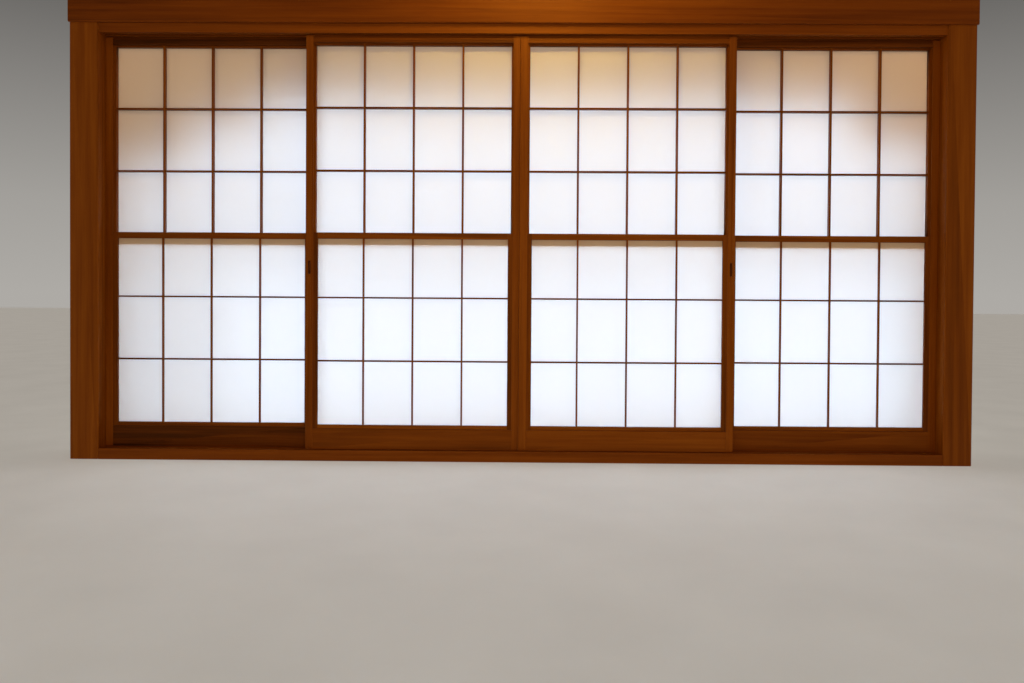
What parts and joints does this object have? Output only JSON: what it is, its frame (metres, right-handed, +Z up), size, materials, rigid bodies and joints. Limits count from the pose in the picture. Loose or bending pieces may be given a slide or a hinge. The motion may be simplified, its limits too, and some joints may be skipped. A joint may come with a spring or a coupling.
{
  "type": "shoji sliding screen",
  "caption": "Japanese shoji screen: latticed paper panels that slide past each other on two tracks in a timber frame, each with a lift-up lower sash over glass.",
  "frame": {"origin": "middle of the footprint, on the ground", "axes": "+X along the tracks to the right seen from the room, +Y away from the room, +Z up"},
  "size_m": [3.76, 0.132, 1.944],
  "materials": {
    "post_wood": "oiled, satin",
    "track_wood": "planed, satin",
    "casing_wood": "planed, satin",
    "panel_wood": "planed, satin",
    "kumiko_wood": "planed, satin",
    "paper": "matt, translucent paper",
    "glass": "clear float glass",
    "spring_metal": "plain"
  },
  "bodies": {
    "frame": {"post_left": "post_wood", "post_right": "post_wood", "sill_track": "track_wood", "head_track": "track_wood", "head_casing": "casing_wood"},
    "panel_1": {"stile_left_1": "panel_wood", "stile_right_1": "panel_wood", "top_rail_1": "panel_wood", "mid_rail_1": "panel_wood", "bottom_rail_1": "panel_wood", "upper_lattice_1": "kumiko_wood", "upper_paper_1": "paper", "glass_1": "glass"},
    "sash_1": {"sash_stiles_1": "panel_wood", "sash_rails_1": "panel_wood", "sash_lattice_1": "kumiko_wood", "sash_paper_1": "paper", "sash_springs_1": "spring_metal"},
    "panel_2": {"stile_left_2": "panel_wood", "stile_right_2": "panel_wood", "top_rail_2": "panel_wood", "mid_rail_2": "panel_wood", "bottom_rail_2": "panel_wood", "upper_lattice_2": "kumiko_wood", "upper_paper_2": "paper", "glass_2": "glass"},
    "sash_2": {"sash_stiles_2": "panel_wood", "sash_rails_2": "panel_wood", "sash_lattice_2": "kumiko_wood", "sash_paper_2": "paper", "sash_springs_2": "spring_metal"},
    "panel_3": {"stile_left_3": "panel_wood", "stile_right_3": "panel_wood", "top_rail_3": "panel_wood", "mid_rail_3": "panel_wood", "bottom_rail_3": "panel_wood", "upper_lattice_3": "kumiko_wood", "upper_paper_3": "paper", "glass_3": "glass"},
    "sash_3": {"sash_stiles_3": "panel_wood", "sash_rails_3": "panel_wood", "sash_lattice_3": "kumiko_wood", "sash_paper_3": "paper", "sash_springs_3": "spring_metal"},
    "panel_4": {"stile_left_4": "panel_wood", "stile_right_4": "panel_wood", "top_rail_4": "panel_wood", "mid_rail_4": "panel_wood", "bottom_rail_4": "panel_wood", "upper_lattice_4": "kumiko_wood", "upper_paper_4": "paper", "glass_4": "glass"},
    "sash_4": {"sash_stiles_4": "panel_wood", "sash_rails_4": "panel_wood", "sash_lattice_4": "kumiko_wood", "sash_paper_4": "paper", "sash_springs_4": "spring_metal"}
  },
  "joints": [
    {"name": "panel_1_slide", "type": "slide", "parent": "frame", "child": "panel_1", "axis": [1, 0, 0], "range_m": [0, 0.8618]},
    {"name": "panel_2_slide", "type": "slide", "parent": "frame", "child": "panel_2", "axis": [1, 0, 0], "range_m": [-0.8618, 0]},
    {"name": "panel_3_slide", "type": "slide", "parent": "frame", "child": "panel_3", "axis": [1, 0, 0], "range_m": [0, 0.8618]},
    {"name": "panel_4_slide", "type": "slide", "parent": "frame", "child": "panel_4", "axis": [1, 0, 0], "range_m": [-0.8618, 0]},
    {"name": "sash_1_lift", "type": "slide", "parent": "panel_1", "child": "sash_1", "axis": [0, 0, 1], "range_m": [0, 0.79]},
    {"name": "sash_2_lift", "type": "slide", "parent": "panel_2", "child": "sash_2", "axis": [0, 0, 1], "range_m": [0, 0.79]},
    {"name": "sash_3_lift", "type": "slide", "parent": "panel_3", "child": "sash_3", "axis": [0, 0, 1], "range_m": [0, 0.79]},
    {"name": "sash_4_lift", "type": "slide", "parent": "panel_4", "child": "sash_4", "axis": [0, 0, 1], "range_m": [0, 0.79]}
  ]
}
